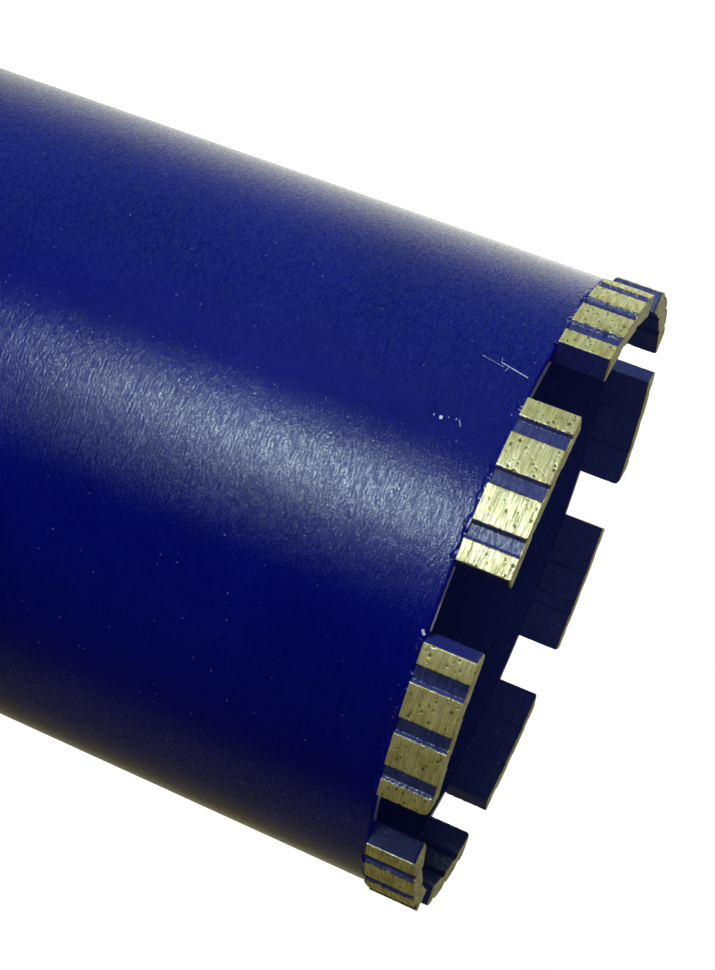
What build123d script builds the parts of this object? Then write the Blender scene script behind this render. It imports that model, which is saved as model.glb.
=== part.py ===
from build123d import *
import os
from math import asin, degrees

# A 102 mm diamond core bit: a steel barrel closed at the back by a welded plate and a threaded
# drive hub, with nine grooved diamond segments joined on edge round its mouth.
# Millimetres. +Z runs from the hub to the cutting end, the origin is the centre of the hub's
# open face, and +X passes through the middle of segment_1.

# Barrel
BARREL_OD = 100.0
BARREL_WALL = 2.0
BARREL_LENGTH = 150.0
MOUTH_EDGE_CHAMFER = 0.4
BACK_EDGE_CHAMFER = 0.5

# Back plate, let into the barrel's back end
PLATE_THICKNESS = 6.0
PLATE_EDGE_CHAMFER = 0.4

# Drive hub, tapped right through for a 1 1/4 in - 7 UNC spindle
HUB_OD = 48.0
HUB_LENGTH = 36.0
HUB_EDGE_CHAMFER = 1.2
HUB_ACROSS_FLATS = 41.0
FLAT_START = 6.0
FLAT_LENGTH = 20.0
SPIGOT_OD = 36.0
THREAD_MAJOR_D = 31.75
THREAD_MINOR_D = 28.2
COUNTERSINK_CLEARANCE = 0.5
INNER_COUNTERSINK = 1.0

# Segments, counted anticlockwise as seen from the cutting end
SEGMENT_COUNT = 9
SEGMENT_LENGTH = 24.0
SEGMENT_HEIGHT = 7.6
SEGMENT_OUTER_R = 51.0
SEGMENT_INNER_R = 47.5
OUTER_GROOVE_PLACES = (-7.75, 0.0, 7.75)
INNER_GROOVE_PLACES = (-3.95, 3.95)
GROOVE_WIDTH = 2.55
OUTER_GROOVE_DEPTH = 0.7
INNER_GROOVE_DEPTH = 0.55
GROOVE_FLANK_RUN = 0.3

# How far each segment's (trailing, leading) top corner is rounded by use
CORNER_WEAR = (
    (0.4, 0.3),
    (0.6, 1.3),
    (0.8, 0.3),
    (0.4, 1.0),
    (0.3, 0.6),
    (0.3, 0.3),
    (1.2, 0.3),
    (0.6, 0.5),
    (0.3, 0.3),
)

# Welds
SEGMENT_WELD_LEG = 0.9
SEGMENT_WELD_HEIGHT = 1.2
SEGMENT_WELD_CROWN = 0.14
PLATE_WELD_WIDTH = 3.6
PLATE_WELD_RISE = 1.1
HUB_WELD_LEG = 5.0
HUB_WELD_CROWN = 0.5

# Worked out from the sizes above
BARREL_R = BARREL_OD / 2
BORE_R = BARREL_R - BARREL_WALL
HUB_R = HUB_OD / 2
SPIGOT_R = SPIGOT_OD / 2
THREAD_MINOR_R = THREAD_MINOR_D / 2
MOUTH_COUNTERSINK = (THREAD_MAJOR_D - THREAD_MINOR_D) / 2 + COUNTERSINK_CLEARANCE
PLATE_BACK_Z = HUB_LENGTH
PLATE_FRONT_Z = PLATE_BACK_Z + PLATE_THICKNESS
RIM_Z = PLATE_BACK_Z + BARREL_LENGTH
SEGMENT_PITCH = 360.0 / SEGMENT_COUNT


def revolved(profile, arc=360.0):
    """A closed line of (radius, height) edges in the XZ plane, turned about Z."""
    return revolve(make_face(profile), axis=Axis.Z, revolution_arc=arc)


def polygon_edges(*points):
    """Straight edges through (radius, height) points, closed back to the first."""
    return Polyline([(r, 0, z) for r, z in points], close=True).edges()


def barrel_tube():
    """Plain rolled tube with the outer corners of its mouth and of its back end broken."""
    return revolved(
        polygon_edges(
            (BORE_R, PLATE_BACK_Z),
            (BARREL_R - BACK_EDGE_CHAMFER, PLATE_BACK_Z),
            (BARREL_R, PLATE_BACK_Z + BACK_EDGE_CHAMFER),
            (BARREL_R, RIM_Z - MOUTH_EDGE_CHAMFER),
            (BARREL_R - MOUTH_EDGE_CHAMFER, RIM_Z),
            (BORE_R, RIM_Z),
        )
    )


def back_plate():
    """Turned disc that closes the barrel, with a hole for the hub's spigot."""
    return revolved(
        polygon_edges(
            (SPIGOT_R, PLATE_BACK_Z),
            (BORE_R - PLATE_EDGE_CHAMFER, PLATE_BACK_Z),
            (BORE_R, PLATE_BACK_Z + PLATE_EDGE_CHAMFER),
            (BORE_R, PLATE_FRONT_Z),
            (SPIGOT_R, PLATE_FRONT_Z),
        )
    )


def drive_hub():
    """Turned hub: tapped bore, countersunk at both ends, spigot through the plate, two flats."""
    hub = revolved(
        polygon_edges(
            (THREAD_MINOR_R + MOUTH_COUNTERSINK, 0),
            (HUB_R - HUB_EDGE_CHAMFER, 0),
            (HUB_R, HUB_EDGE_CHAMFER),
            (HUB_R, HUB_LENGTH),
            (SPIGOT_R, HUB_LENGTH),
            (SPIGOT_R, PLATE_FRONT_Z),
            (THREAD_MINOR_R + INNER_COUNTERSINK, PLATE_FRONT_Z),
            (THREAD_MINOR_R, PLATE_FRONT_Z - INNER_COUNTERSINK),
            (THREAD_MINOR_R, MOUTH_COUNTERSINK),
        )
    )
    flat_depth = HUB_R - HUB_ACROSS_FLATS / 2
    for side in (1, -1):
        place = Pos(0, side * (HUB_ACROSS_FLATS + flat_depth) / 2, FLAT_START + FLAT_LENGTH / 2)
        hub -= place * Box(HUB_OD, flat_depth, FLAT_LENGTH)
    return hub


def groove_cutter(place, face_r, depth):
    """Tapered slot across a segment face. A negative depth cuts outwards from the inner face."""
    outward = 1 if depth > 0 else -1
    overshoot = 0.5
    mouth = GROOVE_WIDTH / 2
    floor = mouth - GROOVE_FLANK_RUN
    flare = mouth + overshoot * GROOVE_FLANK_RUN / abs(depth)
    outline = Polyline(
        (face_r + outward * overshoot, -flare),
        (face_r - depth, -floor),
        (face_r - depth, floor),
        (face_r + outward * overshoot, flare),
        close=True,
    )
    turn = degrees(asin(place / face_r))
    return Rot(0, 0, turn) * make_face(outline)


def segment_section():
    """Arc-shaped bar with parallel ends, grooved on both faces, the inner grooves staggered."""
    ring = Circle(SEGMENT_OUTER_R) - Circle(SEGMENT_INNER_R)
    section = ring & Pos(SEGMENT_OUTER_R, 0) * Rectangle(SEGMENT_OUTER_R, SEGMENT_LENGTH)
    for place in OUTER_GROOVE_PLACES:
        section -= groove_cutter(place, SEGMENT_OUTER_R, OUTER_GROOVE_DEPTH)
    for place in INNER_GROOVE_PLACES:
        section -= groove_cutter(place, SEGMENT_INNER_R, -INNER_GROOVE_DEPTH)
    return section


def segment(section, trailing_wear, leading_wear):
    """Pressed and sintered segment stood on the rim at +X, its top corners rounded by use."""
    bar = Pos(0, 0, RIM_Z) * extrude(section, amount=SEGMENT_HEIGHT)
    for end, wear in ((0, trailing_wear), (-1, leading_wear)):
        end_edges = bar.edges().filter_by(Plane.XZ).group_by(Axis.Y)[end]
        bar = fillet(end_edges.sort_by(Axis.Z)[-1], wear)
    return bar


def segment_weld():
    """Small crowned fillet under a segment's outer overhang, run along its whole length."""
    foot_z = RIM_Z - SEGMENT_WELD_HEIGHT
    toe_r = BARREL_R + SEGMENT_WELD_LEG
    crown_r = (BARREL_R + toe_r) / 2 + SEGMENT_WELD_CROWN
    crown_z = (foot_z + RIM_Z) / 2 - SEGMENT_WELD_CROWN
    half_arc = degrees(asin(SEGMENT_LENGTH / 2 / SEGMENT_OUTER_R))
    bead = revolved(
        polygon_edges(
            (BARREL_R - MOUTH_EDGE_CHAMFER, RIM_Z),
            (BARREL_R, RIM_Z - MOUTH_EDGE_CHAMFER),
            (BARREL_R, foot_z),
            (crown_r, crown_z),
            (toe_r, RIM_Z),
        ),
        arc=2 * half_arc,
    )
    return Rot(0, 0, -half_arc) * bead


def plate_weld():
    """Capped weld over the joint between the plate's rim and the barrel's back end."""
    outer_r = BARREL_R - BACK_EDGE_CHAMFER
    inner_r = outer_r - PLATE_WELD_WIDTH
    shoulder = PLATE_WELD_WIDTH / 3
    return revolved(
        polygon_edges(
            (inner_r, PLATE_BACK_Z),
            (inner_r + shoulder, PLATE_BACK_Z - PLATE_WELD_RISE),
            (outer_r - shoulder, PLATE_BACK_Z - PLATE_WELD_RISE),
            (outer_r, PLATE_BACK_Z),
        )
    )


def hub_weld():
    """Crowned fillet weld in the corner between the hub's side and the plate's back face."""
    crown = HUB_WELD_LEG / 2 + HUB_WELD_CROWN
    return revolved(
        polygon_edges(
            (HUB_R, PLATE_BACK_Z),
            (HUB_R, PLATE_BACK_Z - HUB_WELD_LEG),
            (HUB_R + crown, PLATE_BACK_Z - crown),
            (HUB_R + HUB_WELD_LEG, PLATE_BACK_Z),
        )
    )


def core_bit():
    """Every piece of the bit by name."""
    pieces = {
        "barrel_tube": barrel_tube(),
        "back_plate": back_plate(),
        "drive_hub": drive_hub(),
        "plate_weld": plate_weld(),
        "hub_weld": hub_weld(),
    }
    section = segment_section()
    weld = segment_weld()
    for number, (trailing_wear, leading_wear) in enumerate(CORNER_WEAR, start=1):
        turn = Rot(0, 0, (number - 1) * SEGMENT_PITCH)
        pieces[f"segment_{number}"] = turn * segment(section, trailing_wear, leading_wear)
        pieces[f"segment_weld_{number}"] = turn * weld
    return pieces


os.makedirs("parts", exist_ok=True)
for name, piece in core_bit().items():
    export_step(piece, f"parts/{name}.step")
    print(name, round(piece.volume, 1))
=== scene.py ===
import itertools
import math

import bpy
import numpy as np
from mathutils import Matrix, Vector


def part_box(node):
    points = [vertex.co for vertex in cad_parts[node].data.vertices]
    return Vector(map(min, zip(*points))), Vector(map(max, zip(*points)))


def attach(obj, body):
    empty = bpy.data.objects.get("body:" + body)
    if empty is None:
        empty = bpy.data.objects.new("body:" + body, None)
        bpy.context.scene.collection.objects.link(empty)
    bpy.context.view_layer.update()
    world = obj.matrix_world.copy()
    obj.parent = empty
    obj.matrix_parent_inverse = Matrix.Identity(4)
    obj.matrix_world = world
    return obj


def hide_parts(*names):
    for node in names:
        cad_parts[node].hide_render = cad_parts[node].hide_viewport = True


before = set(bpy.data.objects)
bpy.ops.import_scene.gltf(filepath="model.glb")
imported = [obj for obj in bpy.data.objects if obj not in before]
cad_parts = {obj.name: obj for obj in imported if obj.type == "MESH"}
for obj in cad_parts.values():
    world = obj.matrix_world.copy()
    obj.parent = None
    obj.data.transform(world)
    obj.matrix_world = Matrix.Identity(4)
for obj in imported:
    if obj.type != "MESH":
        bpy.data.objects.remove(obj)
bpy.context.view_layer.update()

# ---------------------------------------------------------------------------------------------
# Camera
# It hangs in front of the mouth and a little above the rim, and is rolled so that the upright
# bit seems to lie along the picture, its cutting end to the lower right.
# ---------------------------------------------------------------------------------------------
mm = 0.001
rim_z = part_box("barrel_tube")[1].z
camera_azimuth = math.radians(14.477)
camera_elevation = math.radians(7.526)
camera_distance = 0.25811
camera_roll = math.radians(111.536)
aim_point = Vector((0.00170, -0.00597, 0.15836))

camera_lens = bpy.data.cameras.new("camera")
camera_lens.sensor_width = 36.0
camera_lens.lens = 60.658
camera_lens.clip_start = 0.01
camera = bpy.data.objects.new("camera", camera_lens)
bpy.context.scene.collection.objects.link(camera)
bpy.context.scene.camera = camera
camera_place = Vector((0, 0, rim_z)) + camera_distance * Vector(
    (
        math.cos(camera_elevation) * math.cos(camera_azimuth),
        math.cos(camera_elevation) * math.sin(camera_azimuth),
        math.sin(camera_elevation),
    )
)
level_view = (aim_point - camera_place).to_track_quat("-Z", "Y").to_matrix().to_4x4()
camera.matrix_world = Matrix.Translation(camera_place) @ level_view @ Matrix.Rotation(camera_roll, 4, "Z")

bpy.context.scene.view_settings.view_transform = "Standard"


# ---------------------------------------------------------------------------------------------
# Studio
# A white floor and surround, and walls out of the camera's sight: bright behind the bit on one
# side, dim and cool from there to the front, dim and warm on the other. One tall strip gives
# gleam alone, the fills give matt light alone, and azimuths are counted from +X.
# ---------------------------------------------------------------------------------------------
def shader_node(tree, kind, inputs=(), **settings):
    """Adds a node of that kind, makes its settings, and fills its inputs with values or sockets."""
    made = tree.nodes.new(kind)
    for setting, value in settings.items():
        setattr(made, setting, value)
    for socket, value in dict(inputs).items():
        if isinstance(value, bpy.types.NodeSocket):
            tree.links.new(value, made.inputs[socket])
        else:
            made.inputs[socket].default_value = value
    return made


def arithmetic(tree, operation, *values, clamp=False):
    """The result of one Math node."""
    settings = {"operation": operation, "use_clamp": clamp}
    return shader_node(tree, "ShaderNodeMath", enumerate(values), **settings).outputs[0]


def ramp(tree, factor, stops):
    """The colour that a ramp of (position, colour) stops gives for the factor."""
    made = shader_node(tree, "ShaderNodeValToRGB", {"Fac": factor})
    band = made.color_ramp
    for index, (position, colour) in enumerate(stops):
        stop = band.elements[index] if index < 2 else band.elements.new(position)
        stop.position = position
        stop.color = (*colour, 1.0)
    return made.outputs["Color"]


world = bpy.data.worlds.new("studio_surround")
bpy.context.scene.world = world
world.use_nodes = True
surround = world.node_tree
surround.nodes.clear()
direction = shader_node(surround, "ShaderNodeTexCoord").outputs["Generated"]
compass = shader_node(surround, "ShaderNodeSeparateXYZ", {"Vector": direction})
bearing = arithmetic(surround, "ARCTAN2", compass.outputs["Y"], compass.outputs["X"])
turn_share = arithmetic(surround, "MULTIPLY_ADD", bearing, 0.5 / math.pi, 0.5)
# stops run from azimuth -180 degrees to +180 degrees
wall_light = ramp(
    surround,
    turn_share,
    [
        (0.000, (0.55, 0.52, 0.35)),
        (0.042, (1.35, 1.35, 1.25)),
        (0.083, (1.75, 1.75, 1.62)),
        (0.125, (1.42, 1.44, 1.18)),
        (0.167, (1.20, 1.24, 1.12)),
        (0.208, (0.44, 0.56, 0.60)),
        (0.250, (0.28, 0.42, 0.43)),
        (0.292, (0.25, 0.44, 0.45)),
        (0.375, (0.25, 0.44, 0.47)),
        (0.417, (0.16, 0.26, 0.30)),
        (0.458, (0.09, 0.14, 0.16)),
        (0.500, (0.05, 0.07, 0.08)),
        (0.583, (0.005, 0.005, 0.01)),
        (0.790, (0.005, 0.005, 0.005)),
        (0.833, (0.14, 0.115, 0.03)),
        (0.875, (0.11, 0.095, 0.02)),
        (0.917, (0.14, 0.125, 0.04)),
        (0.958, (0.20, 0.18, 0.05)),
        (1.000, (0.55, 0.52, 0.35)),
    ],
)
path = shader_node(surround, "ShaderNodeLightPath")
seen = arithmetic(
    surround, "MAXIMUM", path.outputs["Is Camera Ray"], path.outputs["Is Transmission Ray"]
)
height_share = arithmetic(surround, "MULTIPLY_ADD", compass.outputs["Z"], 0.5, 0.5)
# stops run from straight down to straight up, and the horizon is at 0.5
height_light = ramp(
    surround,
    height_share,
    [
        (0.26, (0.66, 0.66, 0.66)),
        (0.45, (0.97, 0.97, 0.97)),
        (0.48, (0.97, 0.97, 0.97)),
        (0.56, (0.16, 0.16, 0.16)),
    ],
)
light_from_walls = shader_node(
    surround, "ShaderNodeBackground", {"Color": wall_light, "Strength": height_light}
)
white_behind = shader_node(
    surround, "ShaderNodeBackground", {"Color": (1, 1, 1, 1), "Strength": 1.0}
)
either = shader_node(
    surround,
    "ShaderNodeMixShader",
    {0: seen, 1: light_from_walls.outputs[0], 2: white_behind.outputs[0]},
)
shader_node(surround, "ShaderNodeOutputWorld", {"Surface": either.outputs[0]})


lamp_aim = Vector((0, 0, rim_z - 0.03))


def softbox(name, azimuth, distance, height, width, tall, power, colour=(1, 1, 1)):
    """A flat lamp at that bearing and distance from the bit's axis, turned to face its upper end."""
    lamp = bpy.data.lights.new(name, "AREA")
    lamp.shape = "RECTANGLE"
    lamp.size = width
    lamp.size_y = tall
    lamp.energy = power
    lamp.color = colour
    stand = bpy.data.objects.new(name, lamp)
    bpy.context.scene.collection.objects.link(stand)
    bearing = math.radians(azimuth)
    place = Vector((distance * math.cos(bearing), distance * math.sin(bearing), height))
    facing = (lamp_aim - place).to_track_quat("-Z", "Y")
    stand.matrix_world = Matrix.Translation(place) @ facing.to_matrix().to_4x4()
    stand.visible_camera = False
    return stand


cool_white = (0.78, 0.95, 1.0)
strip_distance = 0.36
front_strip = softbox(
    "front_strip",
    azimuth=1.0,
    distance=strip_distance,
    height=0.094,
    width=0.028,
    tall=0.105,
    power=0.58,
    colour=cool_white,
)
front_strip.visible_diffuse = False
softbox(
    "low_strip",
    azimuth=15,
    distance=strip_distance,
    height=0.035,
    width=0.09,
    tall=0.06,
    power=0.10,
    colour=cool_white,
)


def far_lamp(name, azimuth, elevation, power, colour):
    """A sun-like lamp at that bearing and elevation that gives matt light and no gleam."""
    soft_edge = math.radians(20)
    lamp = bpy.data.lights.new(name, "SUN")
    lamp.energy = power
    lamp.angle = soft_edge
    lamp.color = colour
    stand = bpy.data.objects.new(name, lamp)
    bpy.context.scene.collection.objects.link(stand)
    bearing = math.radians(azimuth)
    rise = math.radians(elevation)
    level = math.cos(rise)
    towards = Vector((level * math.cos(bearing), level * math.sin(bearing), math.sin(rise)))
    stand.matrix_world = towards.to_track_quat("Z", "Y").to_matrix().to_4x4()
    stand.visible_glossy = False


far_lamp("front_fill", azimuth=12, elevation=8, power=0.75, colour=(1.0, 0.97, 0.85))
far_lamp("warm_fill", azimuth=75, elevation=8, power=0.30, colour=(1.0, 0.85, 0.25))
far_lamp("mouth_fill", azimuth=60, elevation=75, power=0.42, colour=(1.0, 0.97, 0.85))
far_lamp("back_fill", azimuth=180, elevation=6, power=1.6, colour=(1.0, 1.0, 0.97))
far_lamp("top_fill", azimuth=-120, elevation=35, power=0.8, colour=(1.0, 1.0, 0.9))

shade_fill = softbox(
    "shade_fill",
    azimuth=-35,
    distance=0.7,
    height=0.06,
    width=0.3,
    tall=0.10,
    power=4.2,
    colour=(1.0, 1.0, 0.95),
)
shade_fill.visible_glossy = False
mouth_lamp = softbox(
    "mouth_lamp",
    azimuth=50,
    distance=0.012,
    height=rim_z + 0.022,
    width=0.02,
    tall=0.01,
    power=0.013,
)
# it hangs over the mouth and shines across it at the inner faces opposite, and a little down
mouth_lamp_back = Vector((1, 1.2, 0.3)).to_track_quat("Z", "Y").to_matrix().to_4x4()
mouth_lamp.matrix_world = Matrix.Translation(mouth_lamp.location) @ mouth_lamp_back
mouth_lamp.visible_glossy = False

floor_mesh = bpy.data.meshes.new("floor")
floor_reach = 6.0
floor_mesh.from_pydata(
    [(x, y, 0.0) for x, y in ((-1, -1), (1, -1), (1, 1), (-1, 1))], [], [(0, 1, 2, 3)]
)
floor_mesh.transform(Matrix.Scale(floor_reach, 4))
floor = bpy.data.objects.new("floor", floor_mesh)
bpy.context.scene.collection.objects.link(floor)
white_paper = bpy.data.materials.new("white_paper")
white_paper.use_nodes = True
sheet = white_paper.node_tree
sheet.nodes.clear()
to_camera = shader_node(sheet, "ShaderNodeLightPath").outputs["Is Camera Ray"]
# the camera sees bright paper whose glow lifts it to full white, and all else sees grey paper
seen_glow = arithmetic(sheet, "MULTIPLY", to_camera, 0.74)
seen_white = arithmetic(sheet, "MULTIPLY_ADD", to_camera, 0.55, 0.40)
glow = shader_node(sheet, "ShaderNodeEmission", {"Color": (1, 1, 1, 1), "Strength": seen_glow})
matt = shader_node(sheet, "ShaderNodeBsdfDiffuse", {"Color": seen_white})
paper = shader_node(sheet, "ShaderNodeAddShader", {0: glow.outputs[0], 1: matt.outputs[0]})
shader_node(sheet, "ShaderNodeOutputMaterial", {"Surface": paper.outputs[0]})
floor_mesh.materials.append(white_paper)
floor.visible_glossy = False


# ---------------------------------------------------------------------------------------------
# Barrel
# Rolled and seam-welded steel tube, ground round its outside and sprayed with satin navy
# enamel. The grinding marks show through the paint, and handling has scratched and chipped it.
# ---------------------------------------------------------------------------------------------
barrel_low, barrel_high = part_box("barrel_tube")
barrel_r = barrel_high.x
barrel_wall = 0.002
mouth_rounding = 0.0004
lip_rounding = 0.0002
back_rounding = 0.0005


def rounded_outline(corners, arc_steps=5, margin=0.0003):
    """Closed (r, z) outline whose corners (r, z, rounding) become arcs tangent to both sides. One more
    point lies a margin away on either side of each arc, so that smooth shading stays on the corner."""
    points = []
    for index, (r, z, rounding) in enumerate(corners):
        here = np.array((r, z))
        before = np.array(corners[index - 1][:2]) - here
        after = np.array(corners[(index + 1) % len(corners)][:2]) - here
        before /= np.linalg.norm(before)
        after /= np.linalg.norm(after)
        half = math.acos(np.clip(before @ after, -1, 1)) / 2
        setback = rounding / math.tan(half)
        centre = here + (before + after) / np.linalg.norm(before + after) * rounding / math.sin(half)
        start = here + before * setback - centre
        finish = here + after * setback - centre
        share = np.linspace(0, 1, arc_steps + 1)[:, None]
        swing = math.pi - 2 * half
        arc = (np.sin((1 - share) * swing) * start + np.sin(share * swing) * finish) / math.sin(swing)
        points.append(here + before * (setback + margin))
        points.extend(centre + arc)
        points.append(here + after * (setback + margin))
    return np.array(points)


def grid_faces(rows, columns, close_rows=True):
    """Quads of a grid whose vertex (i, j) has the index i * columns + j. The columns close on
    themselves, and so do the rows unless told not to."""
    i = np.arange(rows if close_rows else rows - 1)[:, None]
    j = np.arange(columns)[None, :]
    next_i = (i + 1) % rows
    next_j = (j + 1) % columns
    corners = [i * columns + j, next_i * columns + j, next_i * columns + next_j, i * columns + next_j]
    return np.stack(np.broadcast_arrays(*corners), axis=-1).reshape(-1, 4)


def skin(name, points, faces, crease, **shares):
    """A smooth-shaded piece from (n, 3) points and (m, 4) quads, sharp only past the crease angle in
    degrees. Each further name becomes an attribute with one value per point, which the material reads."""
    mesh = bpy.data.meshes.new(name)
    mesh.vertices.add(len(points))
    mesh.vertices.foreach_set("co", np.ascontiguousarray(points, dtype=np.float32).ravel())
    mesh.loops.add(faces.size)
    mesh.loops.foreach_set("vertex_index", np.ascontiguousarray(faces, dtype=np.int32).ravel())
    mesh.polygons.add(len(faces))
    mesh.polygons.foreach_set("loop_start", np.arange(0, faces.size, 4, dtype=np.int32))
    mesh.update(calc_edges=True)
    mesh.shade_smooth()
    mesh.set_sharp_from_angle(angle=math.radians(crease))
    for share, values in shares.items():
        layer = mesh.attributes.new(share, "FLOAT", "POINT")
        layer.data.foreach_set("value", np.ascontiguousarray(values, dtype=np.float32).ravel())
    piece = bpy.data.objects.new(name, mesh)
    bpy.context.scene.collection.objects.link(piece)
    return piece


def turned(outline, angles):
    """Points (i, j) of a surface of revolution: outline point j = (r, z) at angle i. The outline runs
    anticlockwise in the (r, z) plane, which makes the faces of the grid point outwards."""
    angle = np.asarray(angles)[:, None]
    r = outline[None, :, 0]
    z = np.broadcast_to(outline[None, :, 1], (len(angle), len(outline)))
    return np.stack([r * np.cos(angle), r * np.sin(angle), z], axis=-1)


def soft_noise(points, pitch, seed):
    """Smooth noise between 0 and 1: random numbers on a lattice of that pitch (one for each axis, or one
    for all), blended between the eight lattice points round each place with an eased share."""
    numbers = np.random.default_rng(seed).random((64, 64, 64))
    scaled = points / np.asarray(pitch)
    cell = np.floor(scaled).astype(int)
    share = scaled - cell
    share = share * share * (3 - 2 * share)
    total = 0
    for corner in itertools.product((0, 1), repeat=3):
        weight = np.prod(np.where(corner, share, 1 - share), axis=-1)
        i, j, k = np.moveaxis((cell + corner) % 64, -1, 0)
        total = total + weight * numbers[i, j, k]
    return total


def ease(value, low, high):
    """0 below low, 1 above high and an S-shaped step between them."""
    share = np.clip((value - low) / (high - low), 0, 1)
    return share * share * (3 - 2 * share)


def bump(tree, height, distance):
    """A Bump node's normal for a height field."""
    settings = {"Strength": 1.0, "Distance": distance, "Height": height}
    return shader_node(tree, "ShaderNodeBump", settings).outputs["Normal"]


def noise(tree, vector, scale, detail=3.0, roughness=0.5):
    """The factor of a noise texture."""
    settings = {"Vector": vector, "Scale": scale, "Detail": detail, "Roughness": roughness}
    return shader_node(tree, "ShaderNodeTexNoise", settings).outputs["Fac"]


def grain(tree, place, along, across):
    """Fine lines that run round the axis, on walls and on faces alike: noise that changes slowly with x and
    y (along waves per metre) and quickly with the height plus the distance from the axis (across)."""
    parts = shader_node(tree, "ShaderNodeSeparateXYZ", {"Vector": place})
    flat = shader_node(tree, "ShaderNodeVectorMath", {0: place, 1: (1, 1, 0)}, operation="MULTIPLY")
    length = shader_node(tree, "ShaderNodeVectorMath", {0: flat.outputs[0]}, operation="LENGTH")
    radius = length.outputs["Value"]
    slow_x = arithmetic(tree, "MULTIPLY", parts.outputs["X"], along)
    slow_y = arithmetic(tree, "MULTIPLY", parts.outputs["Y"], along)
    quick = arithmetic(tree, "MULTIPLY", arithmetic(tree, "ADD", parts.outputs["Z"], radius), across)
    lines = shader_node(tree, "ShaderNodeCombineXYZ", {"X": slow_x, "Y": slow_y, "Z": quick}).outputs[0]
    return noise(tree, lines, 1.0, 4.0, 0.6)


def between(tree, value, low, high, to_low=0.0, to_high=1.0):
    """The value taken smoothly from the range low..high to the range to_low..to_high."""
    settings = {"Value": value, "From Min": low, "From Max": high, "To Min": to_low, "To Max": to_high}
    made = shader_node(tree, "ShaderNodeMapRange", settings, interpolation_type="SMOOTHSTEP")
    return made.outputs["Result"]


def blend_colour(tree, share, one, other):
    """One colour where the share is 0, the other where it is 1."""
    made = shader_node(tree, "ShaderNodeMix", data_type="RGBA", clamp_factor=True)
    for socket, value in ((0, share), (6, one), (7, other)):
        if isinstance(value, bpy.types.NodeSocket):
            tree.links.new(value, made.inputs[socket])
        else:
            made.inputs[socket].default_value = value if socket == 0 else (*value, 1.0)
    return made.outputs[2]


def attribute(tree, name):
    """The value of a mesh attribute."""
    return shader_node(tree, "ShaderNodeAttribute", attribute_name=name).outputs["Fac"]


def line_marks(tree, place, marks):
    """Cover of scratches and chips: each mark is (start, end, width, strength), a line on the surface, and
    the cover has that strength where a point is nearer to the line than about half the width."""
    ragged = noise(tree, place, 3000.0, 2.0)
    cover = None
    for start, end, width, strength in marks:
        run = Vector(end) - Vector(start)
        offset = shader_node(tree, "ShaderNodeVectorMath", {0: place, 1: start}, operation="SUBTRACT")
        along = shader_node(
            tree,
            "ShaderNodeVectorMath",
            {0: offset.outputs[0], 1: run / run.length_squared},
            operation="DOT_PRODUCT",
        )
        share = arithmetic(tree, "ADD", along.outputs["Value"], 0.0, clamp=True)
        foot = shader_node(tree, "ShaderNodeVectorMath", {0: run, "Scale": share}, operation="SCALE")
        gap = shader_node(
            tree, "ShaderNodeVectorMath", {0: offset.outputs[0], 1: foot.outputs[0]}, operation="DISTANCE"
        )
        reach = arithmetic(tree, "MULTIPLY", ragged, width)
        near = arithmetic(tree, "LESS_THAN", gap.outputs["Value"], reach)
        near = arithmetic(tree, "MULTIPLY", near, strength)
        cover = near if cover is None else arithmetic(tree, "MAXIMUM", cover, near)
    return cover


navy = (0.0004, 0.0014, 0.106)
navy_thin = (0.0011, 0.0032, 0.148)
# grey of the dust specks, and of a haze that is partly dust and partly painted sheen
dust_and_sheen_grey = (0.34, 0.43, 0.46)
# colour of painted shade, for the barrel's inside and the segments' inner faces, ends and groove floors
dull_navy = (0.009, 0.013, 0.043)
chipped_paint = (0.55, 0.60, 0.78)
worn_steel = (0.42, 0.43, 0.45)
steel_roughness = 0.42
film_dull = 0.18
film_bright = 0.58


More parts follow.
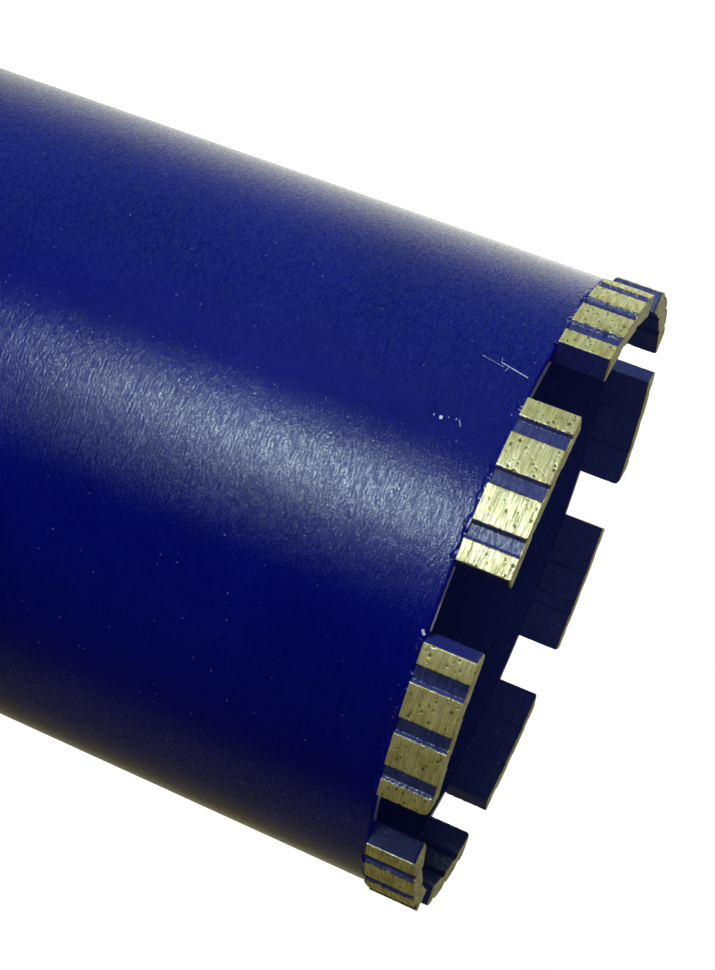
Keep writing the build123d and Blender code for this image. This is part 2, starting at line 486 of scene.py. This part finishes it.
def enamel(tree, place, lines, line_depth, marks=()):
    """Shader of satin navy enamel whose film follows the lines of the metal below, with an orange-peel
    skin, flecks of more and less gleam, sparse specks of dust, and marks that show the pale undercoat. A
    mesh may make it rougher and greyer with one attribute, a haze that is partly dust and partly painted
    sheen, and darker with another, which is painted shade."""
    peel = noise(tree, place, 4400.0, 1.0)
    dashes = grain(tree, place, 900.0, 3800.0)
    rings = grain(tree, place, 150.0, 1400.0)
    cloud = noise(tree, place, 45.0, 3.0)
    film = arithmetic(tree, "MULTIPLY_ADD", lines, 0.5, arithmetic(tree, "MULTIPLY", cloud, 0.5))
    colour = blend_colour(tree, between(tree, film, 0.35, 0.65), navy, navy_thin)
    # grey haze from a mesh attribute: partly dust and partly painted sheen, and also rougher
    dust_and_sheen = attribute(tree, "dust_and_sheen")
    haze = arithmetic(tree, "MULTIPLY", dust_and_sheen, between(tree, lines, 0.3, 0.7, 0.04, 0.11))
    colour = blend_colour(tree, haze, colour, dust_and_sheen_grey)
    # painted shade: a darker, greyer navy where a mesh attribute asks for it
    dull = arithmetic(tree, "MULTIPLY", attribute(tree, "dull"), 0.7)
    colour = blend_colour(tree, dull, colour, dull_navy)
    grit = shader_node(tree, "ShaderNodeTexVoronoi", {"Vector": place, "Scale": 1500.0})
    grit_pick = shader_node(tree, "ShaderNodeSeparateColor", {"Color": grit.outputs["Color"]})
    grit_size = arithmetic(tree, "MULTIPLY", arithmetic(tree, "POWER", grit_pick.outputs[0], 10.0), 0.15)
    speck = arithmetic(tree, "LESS_THAN", grit.outputs["Distance"], grit_size)
    colour = blend_colour(tree, arithmetic(tree, "MULTIPLY", speck, 0.45), colour, dust_and_sheen_grey)
    sand = noise(tree, place, 4300.0, 2.0, 0.6)
    flecks = arithmetic(tree, "MULTIPLY_ADD", grain(tree, place, 1000.0, 3600.0), 1.6, sand)
    gleam_share = between(tree, flecks, 1.13, 1.47)
    gloss = arithmetic(tree, "MULTIPLY_ADD", cloud, 0.05, between(tree, flecks, 1.1, 1.5, 0.165, 0.095))
    gloss = arithmetic(tree, "MULTIPLY_ADD", dust_and_sheen, 0.16, gloss)
    height = arithmetic(tree, "MULTIPLY_ADD", peel, 0.4, dashes)
    height = arithmetic(tree, "MULTIPLY_ADD", lines, 0.6, height)
    height = arithmetic(tree, "MULTIPLY_ADD", rings, 0.5, height)
    if marks:
        cover = line_marks(tree, place, marks)
        colour = blend_colour(tree, cover, colour, chipped_paint)
        height = arithmetic(tree, "MULTIPLY_ADD", cover, -1.0, height)
    normal = bump(tree, height, line_depth)
    films = []
    for specular in (film_dull, film_bright):
        settings = {
            "Base Color": colour,
            "Roughness": gloss,
            "Specular IOR Level": specular,
            "Normal": normal,
        }
        films.append(shader_node(tree, "ShaderNodeBsdfPrincipled", settings).outputs[0])
    either_film = {0: gleam_share, 1: films[0], 2: films[1]}
    return shader_node(tree, "ShaderNodeMixShader", either_film).outputs[0]


def bare_metal(tree, colour, lines, line_depth, roughness):
    """Shader of bare metal, brighter and smoother along its ridges."""
    shade = between(tree, lines, 0.3, 0.7, 0.75, 1.15)
    tint = shader_node(tree, "ShaderNodeVectorMath", {0: colour, "Scale": shade}, operation="SCALE")
    settings = {
        "Base Color": tint.outputs[0],
        "Metallic": 1.0,
        "Roughness": between(tree, lines, 0.3, 0.7, roughness + 0.06, roughness - 0.06),
        "Normal": bump(tree, lines, line_depth),
    }
    return shader_node(tree, "ShaderNodeBsdfPrincipled", settings).outputs[0]


def painted_steel(name, along, across, line_depth, marks=()):
    """Material of navy enamel over steel, worn through to the metal where the attribute "worn" is high."""
    material = bpy.data.materials.new(name)
    material.use_nodes = True
    tree = material.node_tree
    tree.nodes.clear()
    place = shader_node(tree, "ShaderNodeTexCoord").outputs["Object"]
    lines = grain(tree, place, along, across)
    paint = enamel(tree, place, lines, line_depth, marks)
    steel = bare_metal(tree, worn_steel, lines, line_depth, steel_roughness)
    ragged = noise(tree, place, 2500.0, 3.0)
    fringe = arithmetic(tree, "MULTIPLY_ADD", ragged, 0.9, attribute(tree, "worn"))
    bare = between(tree, fringe, 0.88, 1.0)
    both = shader_node(tree, "ShaderNodeMixShader", {0: bare, 1: paint, 2: steel})
    shader_node(tree, "ShaderNodeOutputMaterial", {"Surface": both.outputs[0]})
    return material


def on_barrel(azimuth, below_rim):
    """Point on the barrel's outside at that azimuth, in degrees, and distance below the rim, in mm."""
    bearing = math.radians(azimuth)
    return Vector((barrel_r * math.cos(bearing), barrel_r * math.sin(bearing), rim_z - below_rim * mm))


barrel_outline = rounded_outline(
    [
        (barrel_r - barrel_wall, barrel_low.z, lip_rounding),
        (barrel_r, barrel_low.z, back_rounding),
        (barrel_r, rim_z, mouth_rounding),
        (barrel_r - barrel_wall, rim_z, lip_rounding),
    ]
)
barrel_steps = 720
barrel_points = turned(barrel_outline, 2 * np.pi * np.arange(barrel_steps) / barrel_steps)
lip_near = np.hypot(barrel_outline[:, 0] - barrel_r + barrel_wall, barrel_outline[:, 1] - rim_z)
edge_near = np.hypot(barrel_outline[:, 0] - barrel_r, barrel_outline[:, 1] - rim_z)
wear_edge = -0.0004
wear_core = -0.0001
lip_wear = 0.32 * ease(-lip_near, wear_edge, wear_core)
barrel_wear = lip_wear + 0.17 * ease(-edge_near, wear_edge, wear_core)
# the whole inside of the barrel gets painted shade
inside = barrel_outline[:, 0] < barrel_r - barrel_wall + lip_rounding / 2
barrel = skin(
    "barrel",
    barrel_points.reshape(-1, 3),
    grid_faces(*barrel_points.shape[:2]),
    crease=40,
    worn=np.broadcast_to(barrel_wear, barrel_points.shape[:2]),
    dull=np.broadcast_to(inside, barrel_points.shape[:2]),
)
barrel_marks = [
    (on_barrel(-18.92, 8.34), on_barrel(-18.15, 4.96), 0.10 * mm, 0.35),
    (on_barrel(-18.85, 5.50), on_barrel(-17.78, 1.40), 0.15 * mm, 0.70),
    (on_barrel(-19.74, 5.74), on_barrel(-18.85, 5.50), 0.09 * mm, 0.30),
    (on_barrel(-18.40, 4.33), on_barrel(-17.48, 4.58), 0.11 * mm, 0.35),
    (on_barrel(-5.88, 10.42), on_barrel(-5.80, 10.40), 0.26 * mm, 0.50),
    (on_barrel(-5.90, 9.42), on_barrel(-5.75, 9.40), 0.38 * mm, 0.85),
    (on_barrel(-6.28, 8.46), on_barrel(-6.20, 8.44), 0.18 * mm, 0.35),
    (on_barrel(-6.41, 7.45), on_barrel(-6.35, 7.42), 0.24 * mm, 0.50),
    (on_barrel(-6.45, 7.00), on_barrel(-5.50, 6.50), 0.14 * mm, 0.45),
    (on_barrel(-10.42, 1.12), on_barrel(-10.35, 1.10), 0.20 * mm, 0.35),
    # this mark is a painted glint at the end of a weld bead, not a chip
    (on_barrel(25.15, 0.70), on_barrel(25.50, 0.50), 0.40 * mm, 0.80),
    (on_barrel(4.79, 12.43), on_barrel(8.78, 12.21), 0.13 * mm, 0.25),
    (on_barrel(12.16, 45.91), on_barrel(16.29, 45.89), 0.13 * mm, 0.15),
]
barrel.data.materials.append(
    painted_steel("barrel_enamel", along=260.0, across=3600.0, line_depth=0.000056, marks=barrel_marks)
)
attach(barrel, "root")
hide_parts("barrel_tube")


# ---------------------------------------------------------------------------------------------
# Back plate
# Turned steel disc let into the barrel's back end, painted with the barrel. Its outside still
# shows the rings of the lathe tool.
# ---------------------------------------------------------------------------------------------
plate_low, plate_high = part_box("back_plate")
plate_r = plate_high.x
plate_chamfer = 0.0004
spigot_r = 0.018
plate_outline = rounded_outline(
    [
        (spigot_r, plate_low.z, 0.0001),
        (plate_r - plate_chamfer, plate_low.z, 0.0002),
        (plate_r, plate_low.z + plate_chamfer, 0.0002),
        (plate_r, plate_high.z, 0.0001),
        (spigot_r, plate_high.z, 0.0001),
    ],
    arc_steps=3,
    margin=0.0001,
)
plate_steps = 360
plate_points = turned(plate_outline, 2 * np.pi * np.arange(plate_steps) / plate_steps)
back_plate = skin(
    "plate",
    plate_points.reshape(-1, 3),
    grid_faces(*plate_points.shape[:2]),
    crease=30,
    worn=np.zeros(plate_points.shape[:2]),
)
back_plate.data.materials.append(
    painted_steel("plate_enamel", along=60.0, across=2600.0, line_depth=0.00004)
)
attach(back_plate, "root")
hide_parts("back_plate")


# ---------------------------------------------------------------------------------------------
# Plate weld and hub weld
# Two rings of weld laid by hand: a low cap over the joint of plate and barrel, and a fillet in
# the corner of hub and plate. Both show the ripples of the pool under the paint.
# ---------------------------------------------------------------------------------------------
def ripples(turn_share, across, count, seed):
    """Height between 0 and 1 of a weld's ripples: crescents that trail behind the middle of the bead,
    evenly spaced round the ring apart from a slow unevenness."""
    wander_waves = 40
    wander_at = np.stack([turn_share * wander_waves, across * 0, across * 0], axis=-1)
    wander = soft_noise(wander_at, 1.0, seed)
    phase = turn_share * count + 0.8 * wander + 0.9 * (1 - across**2)
    return np.abs(np.sin(np.pi * phase)) ** 0.6


plate_weld_low, plate_weld_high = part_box("plate_weld")
cap_steps = 1200
cap_ripples = 150
cap_half_width = 0.00178
cap_inset = 0.0018
cap_turn = np.arange(cap_steps)[:, None] / cap_steps
cap_across = np.linspace(-1, 1, 17)[None, :]
cap_turn, cap_across = np.broadcast_arrays(cap_turn, cap_across)
cap_middle = plate_weld_high.x - cap_inset
cap_rise = (plate_weld_high.z - plate_weld_low.z) * (1 - np.abs(cap_across) ** 3)
cap_rise = cap_rise * (0.80 + 0.20 * ripples(cap_turn, cap_across, cap_ripples, seed=4))
cap_r = cap_middle + cap_half_width * cap_across
cap_z = plate_weld_high.z - cap_rise
cap_angle = 2 * np.pi * cap_turn
cap_sides = np.stack([cap_r * np.cos(cap_angle), cap_r * np.sin(cap_angle), cap_z], axis=-1)
cap = skin(
    "cap_weld",
    cap_sides.reshape(-1, 3),
    grid_faces(*cap_sides.shape[:2]),
    crease=50,
    worn=np.zeros(cap_sides.shape[:2]),
)

hub_weld_low, hub_weld_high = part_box("hub_weld")
fillet_steps = 900
fillet_ripples = 76
fillet_root_r = 0.024
fillet_turn = np.arange(fillet_steps)[:, None] / fillet_steps
fillet_share = np.linspace(0, 1, 19)[None, :]
fillet_turn, fillet_share = np.broadcast_arrays(fillet_turn, fillet_share)
fillet_leg = hub_weld_high.x - fillet_root_r
swell = np.sin(np.pi * fillet_share)
dips = 1 - ripples(fillet_turn, 2 * fillet_share - 1, fillet_ripples, seed=9)
crown = 0.7 * mm * swell
crown = crown - 0.30 * mm * dips * swell
fillet_r = fillet_root_r + fillet_leg * fillet_share + crown * math.sqrt(0.5)
fillet_z = hub_weld_low.z + fillet_leg * fillet_share - crown * math.sqrt(0.5)
fillet_angle = 2 * np.pi * fillet_turn
fillet_points = np.stack(
    [fillet_r * np.cos(fillet_angle), fillet_r * np.sin(fillet_angle), fillet_z], axis=-1
)
# a line of points just inside the hub's side closes the bead's back
inner_corner = turned(
    np.array([(fillet_root_r - 0.0001, hub_weld_high.z)]),
    2 * np.pi * np.arange(fillet_steps) / fillet_steps,
)
fillet_points = np.concatenate([fillet_points, inner_corner], axis=1)
fillet = skin(
    "fillet_weld",
    fillet_points.reshape(-1, 3),
    grid_faces(*fillet_points.shape[:2]),
    crease=50,
    worn=np.zeros(fillet_points.shape[:2]),
)
weld_enamel = painted_steel("weld_enamel", along=700.0, across=700.0, line_depth=0.00003)
for ring, node in ((cap, "plate_weld"), (fillet, "hub_weld")):
    ring.data.materials.append(weld_enamel)
    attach(ring, "root")
    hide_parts(node)


# ---------------------------------------------------------------------------------------------
# Drive hub
# Turned steel hub with two spanner flats, tapped right through at 7 threads to the inch. It is
# painted outside, and the thread and the seating face are bare.
# ---------------------------------------------------------------------------------------------
hub_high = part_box("drive_hub")[1]
hub_r = hub_high.x
hub_chamfer = 1.2 * mm
hub_length = 36 * mm
flat_half = 20.5 * mm
bore_r = 14.1 * mm
thread_depth = 1.775 * mm
thread_pitch = 25.4 * mm / 7
mouth_r = 16.375 * mm
inner_mouth_r = 15.1 * mm
hub_corners = rounded_outline(
    [
        (mouth_r, 0.0, 0.0001),
        (hub_r - hub_chamfer, 0.0, 0.0003),
        (hub_r, hub_chamfer, 0.0003),
        (hub_r, hub_length, 0.0001),
        (spigot_r, hub_length, 0.0001),
        (spigot_r, hub_high.z, 0.0002),
        (inner_mouth_r, hub_high.z, 0.0001),
    ],
    arc_steps=3,
    margin=0.0002,
)
# each corner of the outline has six points, and the flats lie between the second and third ledge
block = 6
flat_low = 6.0
flat_high = 26.0
ledge = 0.15
ledges = np.array(
    [(hub_r, z * mm) for z in (flat_low - ledge, flat_low, flat_high, flat_high + ledge)]
)
hub_outside = np.concatenate(
    [hub_corners[block : 3 * block], ledges, hub_corners[3 * block : 6 * block]]
)
bore_steps = 211
bore_z = np.linspace(hub_high.z, 0.0, bore_steps)
hub_outline = np.concatenate([hub_outside, np.stack([np.full_like(bore_z, bore_r), bore_z], axis=-1)])
flat_edge = math.asin(flat_half / hub_r)
flat_edges = [flat_edge, np.pi - flat_edge, np.pi + flat_edge, 2 * np.pi - flat_edge]
hub_steps = 256
even_angles = 2 * np.pi * np.arange(hub_steps) / hub_steps
hub_angles = np.sort(np.concatenate([even_angles, flat_edges]))
hub_angle = hub_angles[:, None]
hub_z = np.broadcast_to(hub_outline[None, :, 1], (len(hub_angles), len(hub_outline)))
hub_radius = np.broadcast_to(hub_outline[None, :, 0], hub_z.shape).copy()
flatted = slice(2 * block + 1, 2 * block + 3)
flat_reach = flat_half / np.maximum(np.abs(np.sin(hub_angle)), 0.1)
hub_radius[:, flatted] = np.minimum(hub_radius[:, flatted], flat_reach)
thread_phase = (hub_z / thread_pitch - hub_angle / (2 * np.pi)) % 1.0
# half the groove's mouth and the run of one flank, as shares of the pitch
thread_mouth = 0.366
thread_flank = 0.282
thread_cut = thread_depth * np.clip((thread_mouth - np.abs(thread_phase - 0.5)) / thread_flank, 0, 1)
in_bore = np.zeros(len(hub_outline), dtype=bool)
in_bore[len(hub_outside) :] = True
countersinks = np.maximum(mouth_r - hub_z, inner_mouth_r - (hub_high.z - hub_z))
bore_wall = np.maximum(bore_r + thread_cut, countersinks)
hub_radius[:, in_bore] = bore_wall[:, in_bore]
hub_points = np.stack([hub_radius * np.cos(hub_angle), hub_radius * np.sin(hub_angle), hub_z], axis=-1)
hub_bare = np.maximum(np.broadcast_to(in_bore, hub_z.shape), ease(-hub_z, -0.4 * mm, -0.1 * mm))
hub = skin(
    "hub",
    hub_points.reshape(-1, 3),
    grid_faces(*hub_points.shape[:2]),
    crease=25,
    worn=hub_bare,
)
hub.data.materials.append(painted_steel("hub_enamel", along=80.0, across=2400.0, line_depth=0.00003))
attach(hub, "root")
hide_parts("drive_hub")


# ---------------------------------------------------------------------------------------------
# Segments
# Nine short arcs of bronze-bonded diamond grit, pressed, sintered and welded on edge round the
# mouth. Dressing has ground the paint off their lands and tops and torn grit out of the bond.
# ---------------------------------------------------------------------------------------------
# sizes in this section and the next are in millimetres
segment_r = 51.0
segment_inner_r = 47.5
segment_height = 7.6
segment_half = 12.0
segment_pitch = 40
outer_grooves = (-7.75, 0.0, 7.75)
inner_grooves = (-3.95, 3.95)
groove_half = 1.275
groove_flank = 0.3
outer_groove_depth = 0.7
inner_groove_depth = 0.55
land_edge = 1.2
matt_bond = (0.63, 0.59, 0.21)
matt_bond_stained = (0.50, 0.435, 0.125)
gleaming_bond = (0.84, 0.81, 0.56)
gleaming_bond_stained = (0.77, 0.70, 0.40)
# colours of the painted shade in the pits and along the land edges
matt_pit_shade = (0.16, 0.145, 0.055)
gleaming_pit_shade = (0.24, 0.23, 0.14)
gleaming_share = 0.6
# how far the trailing and the leading top corner of each segment are worn round
corner_wear = (
    (0.4, 0.3),
    (0.6, 1.3),
    (0.8, 0.3),
    (0.4, 1.0),
    (0.3, 0.6),
    (0.3, 0.3),
    (1.2, 0.3),
    (0.6, 0.5),
    (0.3, 0.3),
)


def spread(knots, step):
    """Sorted places that include every knot and are nowhere further apart than the step."""
    knots = sorted(knots)
    runs = []
    for start, end in zip(knots, knots[1:]):
        count = max(2, math.ceil((end - start) / step) + 1)
        runs.append(np.linspace(start, end, count)[:-1])
    return np.concatenate([*runs, [knots[-1]]])


def box_skin(shape):
    """Lattice indices (n, 3) of the points on the outside of a block of grid points with that shape, and
    the quads between them, which face outwards and share their points at the edges."""
    outside = np.ones(shape, dtype=bool)
    outside[1:-1, 1:-1, 1:-1] = False
    number = np.full(shape, -1)
    number[outside] = np.arange(outside.sum())
    quads = []
    for axis in range(3):
        for side in (0, -1):
            sheet = np.moveaxis(number, axis, 0)[side]
            corners = [sheet[:-1, :-1], sheet[1:, :-1], sheet[1:, 1:], sheet[:-1, 1:]]
            if (side == 0) != (axis == 1):
                corners.reverse()
            quads.append(np.stack(corners, axis=-1).reshape(-1, 4))
    return np.argwhere(outside), np.concatenate(quads)


def groove_share(y, places, half, flank):
    """0 on the lands, 1 on the groove floors and a flank between whose corners are barely rounded."""
    slope = np.max([np.clip((half - np.abs(y - place)) / flank, 0, 1) for place in places], axis=0)
    return 0.65 * slope + 0.35 * slope * slope * (3 - 2 * slope)


def pits(first, second, random, count, first_range, second_range, stretch):
    """Depth in mm of random oval dents on a face with those two coordinates. The dents step evenly
    along the first and by the golden ratio along the second, so that they neither line up nor bunch."""
    golden = 0.618
    ragged = np.stack([first, second, first * 0], axis=-1)
    first = first + 0.35 * (soft_noise(ragged, 0.30, 7) - 0.5)
    second = second + 0.25 * (soft_noise(ragged, 0.22, 8) - 0.5)
    order = np.arange(count)
    centre_a = np.interp((order + random.random(count)) / count, (0, 1), first_range)
    centre_b = np.interp((golden * order + 0.35 * random.random(count)) % 1, (0, 1), second_range)
    size = 0.09 + 0.11 * random.random(count) ** 2
    depth = 0.06 + 0.11 * random.random(count)
    away_a = (first[:, None] - centre_a) / (stretch * size)
    away_b = (second[:, None] - centre_b) / size
    return np.max(depth * np.clip(1.3 - (away_a**2 + away_b**2), 0, 1), axis=1)


def segment_surface(number, trailing_wear, leading_wear):
    """Points, quads and wear shares of one segment. A block in (radius, y, z) millimetres has its edges
    rounded, its two top corners worn, grooves sunk into both curved faces and pits and streaks into the
    ground ones, and is then bent to the radius and turned to its place."""
    random = np.random.default_rng(100 + number)
    shrink = segment_r / segment_inner_r
    groove_lines = (groove_half, groove_half - groove_flank)
    groove_sides = [side * half for side in (-1, 1) for half in groove_lines]
    edges = [place + side for place in outer_grooves for side in groove_sides]
    edges += [(place + side) * shrink for place in inner_grooves for side in groove_sides]
    # lines of the lattice close to each edge, for its rounding
    near_edge = np.array([0.0, 0.06, 0.12])
    inner_radii = segment_inner_r + near_edge
    outer_radii = segment_r - near_edge
    radial_step = 0.19
    length_step = 0.16
    height_step = 0.155
    radii = spread([*inner_radii, *outer_radii], radial_step)
    lengths = spread([*(near_edge - segment_half), *edges, *(segment_half - near_edge)], length_step)
    heights = spread([0.0, *(segment_height - near_edge)], height_step)
    lattice, quads = box_skin((len(radii), len(lengths), len(heights)))
    flat = np.stack([radii[lattice[:, 0]], lengths[lattice[:, 1]], heights[lattice[:, 2]]], axis=-1)

    rounding = 0.08 + 0.22 * ease(soft_noise(flat, 0.55, 10 * number), 0.5, 0.95)[:, None]
    # the foot stands square on the rim, so the rounding starts far below it
    foot = -9.0
    low = np.array([segment_inner_r, -segment_half, foot]) + rounding
    high = np.array([segment_r, segment_half, segment_height]) - rounding
    kernel = np.clip(flat, low, high)
    reach = flat - kernel
    far = np.linalg.norm(reach, axis=1, keepdims=True)
    block = kernel + reach * rounding / np.maximum(far, rounding)

    t, y, z = block.T
    for side, wear in ((-1, trailing_wear), (1, leading_wear)):
        a = np.clip((side * y - segment_half + wear) / wear, 0, 1)
        b = np.clip((z - segment_height + wear) / wear, 0, 1)
        worn = (a > 0) & (b > 0)
        y = np.where(worn, side * (segment_half - wear + wear * a * np.sqrt(1 - b * b / 2)), y)
        z = np.where(worn, segment_height - wear + wear * b * np.sqrt(1 - a * a / 2), z)

    land_edges = np.array([place + side * land_edge for place in outer_grooves for side in (-1, 1)])
    near_face = ease(t, segment_r - 1.0, segment_r - 0.2)
    edge_gap = np.min(np.abs(y[:, None] - land_edges), axis=1)
    teeth = soft_noise(np.stack([z, y * 0.7, t], axis=-1), (0.28, 1.5, 0.6), 20 * number) - 0.5
    y = y + 0.26 * teeth * np.exp(-((edge_gap / 0.35) ** 2)) * near_face
    edge_gap = np.min(np.abs(y[:, None] - land_edges), axis=1)
    # painted shade along each land edge, where the groove wall casts shadow and the corner would glint
    edge_shade = (0.75 + teeth) * np.exp(-((edge_gap / 0.16) ** 2)) * near_face
    outer_share = groove_share(y, outer_grooves, groove_half, groove_flank)
    inner_share = groove_share(y / shrink, inner_grooves, groove_half, groove_flank)
    on_outer = ease(flat[:, 0], segment_r - 0.4, segment_r)
    on_inner = ease(-flat[:, 0], -segment_inner_r - 0.5, -segment_inner_r)
    on_top = ease(flat[:, 2], segment_height - 0.3, segment_height)
    on_ends = ease(np.abs(flat[:, 1]), segment_half - 0.2, segment_half)
    on_land = on_outer * (1 - outer_share)
    in_groove = on_outer * outer_share

    along = (-segment_half, segment_half)
    up = (0.3, segment_height - 0.1)
    across = (segment_inner_r + 0.2, segment_r - 0.1)
    land_pits = pits(y, z, random, 100, along, up, 1.5) * on_land
    top_pits = pits(y, t, random, 60, along, across, 1.6) * on_top
    streaks = soft_noise(np.stack([z, y, t], axis=-1), (0.26, 1.8, 5.0), 30 * number)
    top_streaks = soft_noise(np.stack([t, y, z], axis=-1), (0.3, 3.0, 5.0), 40 * number)
    casting = soft_noise(np.stack([y, z, t], axis=-1), 0.9, 50 * number)
    inner = segment_inner_r + inner_groove_depth * inner_share + 0.05 * casting * on_inner
    outer = segment_r - outer_groove_depth * outer_share
    r = inner + (t - segment_inner_r) / (segment_r - segment_inner_r) * (outer - inner)
    r = r - land_pits - 0.07 * streaks * on_land - 0.04 * casting * in_groove
    z = z - top_pits - 0.07 * top_streaks * on_top

    # along the middle the sides of the grooves are radial, and the two ends stay parallel
    radial = ease(segment_half - np.abs(y), 0.0, 1.8)
    y = y * (1 - radial * (1 - r / segment_r))
    x = np.sqrt(r * r - y * y)
    turn = math.radians(segment_pitch * (number - 1))
    turned_x = x * math.cos(turn) - y * math.sin(turn)
    turned_y = x * math.sin(turn) + y * math.cos(turn)
    points = np.stack([turned_x, turned_y, z + rim_z / mm], axis=-1)
    ground = ease(flat[:, 0], segment_r - 0.3, segment_r) * (1 - ease(outer_share, 0.0, 0.12))
    shares = {
        "worn": np.maximum(ground, on_top),
        # painted shade in the pits and along the land edges
        "pit_and_edge_shade": np.clip((land_pits + top_pits) / 0.12 + edge_shade, 0, 1),
        # grey haze on groove floors, flanks, inner faces and ends: partly dust, partly painted sheen
        "dust_and_sheen": np.maximum(ease(outer_share, 0.0, 0.2) * on_outer + 0.4 * on_inner, 0.5 * on_ends),
        # painted shade on the groove floors, inner faces and ends
        "dull": np.maximum(0.3 * outer_share * on_outer + on_inner, 0.3 * on_ends),
    }
    return points * mm, quads, shares


def segment_bronze(name):
    """Material of a segment: bare bond where the attribute worn is high, painted shade in the pits and
    along the land edges, and enamel elsewhere, greyed with dust and painted sheen and darkened with painted
    shade in places."""
    material = bpy.data.materials.new(name)
    material.use_nodes = True
    tree = material.node_tree
    tree.nodes.clear()
    place = shader_node(tree, "ShaderNodeTexCoord").outputs["Object"]
    lines = grain(tree, place, 330.0, 4200.0)
    grit = noise(tree, place, 3800.0, 2.0)
    mottle = noise(tree, place, 420.0, 3.0)
    stain = between(tree, mottle, 0.35, 0.7)
    matt_colour = blend_colour(tree, stain, matt_bond, matt_bond_stained)
    gleam_colour = blend_colour(tree, stain, gleaming_bond, gleaming_bond_stained)
    pit_and_edge_shade = attribute(tree, "pit_and_edge_shade")
    # painted shade in the pits and along the land edges
    pit_shade = between(tree, arithmetic(tree, "MULTIPLY_ADD", grit, 0.5, pit_and_edge_shade), 0.40, 0.95)
    streaks = arithmetic(tree, "MULTIPLY_ADD", grain(tree, place, 260.0, 1900.0), 0.6, lines)
    shade = between(tree, streaks, 0.55, 1.05, 0.62, 1.22)
    relief = arithmetic(tree, "MULTIPLY_ADD", grit, 0.4, streaks)
    ridges = bump(tree, relief, 0.000065)
    layers = []
    looks = ((0.0, matt_colour, matt_pit_shade), (1.0, gleam_colour, gleaming_pit_shade))
    for metallic, tint, pit_shade_tint in looks:
        colour = blend_colour(tree, pit_shade, tint, pit_shade_tint)
        shaded = shader_node(tree, "ShaderNodeVectorMath", {0: colour, "Scale": shade}, operation="SCALE")
        settings = {
            "Base Color": shaded.outputs[0],
            "Metallic": metallic,
            "Roughness": between(tree, streaks, 0.55, 1.05, 0.50, 0.36),
            "Normal": ridges,
        }
        layers.append(shader_node(tree, "ShaderNodeBsdfPrincipled", settings).outputs[0])
    both_looks = {0: gleaming_share, 1: layers[0], 2: layers[1]}
    bond = shader_node(tree, "ShaderNodeMixShader", both_looks).outputs[0]
    paint = enamel(tree, place, lines, 0.00003)
    ragged = noise(tree, place, 2200.0, 3.0)
    fringe = arithmetic(tree, "MULTIPLY_ADD", ragged, 0.6, attribute(tree, "worn"))
    bare = between(tree, fringe, 0.66, 0.80)
    both = shader_node(tree, "ShaderNodeMixShader", {0: bare, 1: paint, 2: bond})
    shader_node(tree, "ShaderNodeOutputMaterial", {"Surface": both.outputs[0]})
    return material


bronze = segment_bronze("segment_bronze")
for number, (trailing_wear, leading_wear) in enumerate(corner_wear, start=1):
    points, quads, shares = segment_surface(number, trailing_wear, leading_wear)
    segment = skin(f"cutter_{number}", points, quads, crease=60, **shares)
    segment.data.materials.append(bronze)
    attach(segment, "root")
    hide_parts(f"segment_{number}")


# ---------------------------------------------------------------------------------------------
# Segment welds
# Under each segment's overhang runs a thin hand-laid bead, lumpy and painted over. Its ridges are
# bare and pale in patches, partly rubbed by knocks and partly a painted highlight.
# ---------------------------------------------------------------------------------------------
def bead_surface(number):
    """Points, quads and ridge wear, partly a painted highlight, of one bead: a quarter-oval section swept
    round the barrel's edge, whose foot and toe both wander with noise, closed by a strip of quads at either
    end."""
    stations = 150
    wall_r = 50.0
    root_r = 49.96
    back_r = 49.62
    swing = math.asin(segment_half / segment_r) * np.linspace(-1, 1, stations)
    run = np.stack([swing * wall_r, np.zeros(stations), np.zeros(stations)], axis=-1)
    lumps = 0.6 * soft_noise(run, 1.7, 60 * number) + 0.4 * soft_noise(run, 0.6, 61 * number)
    toes = 0.6 * soft_noise(run, 2.3, 62 * number) + 0.4 * soft_noise(run, 0.7, 63 * number)
    foot = 0.34 + 0.72 * ease(lumps, 0.15, 0.85)[:, None]
    toe = 0.22 + 0.56 * ease(toes, 0.15, 0.85)[:, None]
    u = np.linspace(0, np.pi / 2, 11)[None, :]
    r = root_r + (toe + 0.04) * np.sin(u) ** 0.8
    z = -foot * np.cos(u) ** 0.8
    r = np.concatenate([np.full((stations, 1), back_r), r], axis=1)
    z = np.concatenate([np.full((stations, 1), -0.02), z], axis=1)
    turn = swing[:, None] + math.radians(segment_pitch * (number - 1))
    points = np.stack([r * np.cos(turn), r * np.sin(turn), z + rim_z / mm], axis=-1) * mm
    columns = r.shape[1]
    half = np.arange(columns // 2 - 1)
    cap_low = np.stack([half, half + 1, columns - 2 - half, columns - 1 - half], axis=-1)
    cap_high = (cap_low + (stations - 1) * columns)[:, ::-1]
    quads = np.concatenate([grid_faces(stations, columns, close_rows=False), cap_low, cap_high])
    middle = np.sin(np.pi * np.linspace(0, 1, columns))
    # the ridges are bared in patches: partly rubbed by knocks, partly a painted highlight
    ridge_wear_and_glint = ease(lumps[:, None] + toes[:, None], 1.05, 1.5) * middle
    return points, quads, 0.55 * ridge_wear_and_glint


for number in range(1, 10):
    points, quads, worn = bead_surface(number)
    bead = skin(f"bead_{number}", points.reshape(-1, 3), quads, crease=60, worn=worn)
    bead.data.materials.append(weld_enamel)
    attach(bead, "root")
    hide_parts(f"segment_weld_{number}")
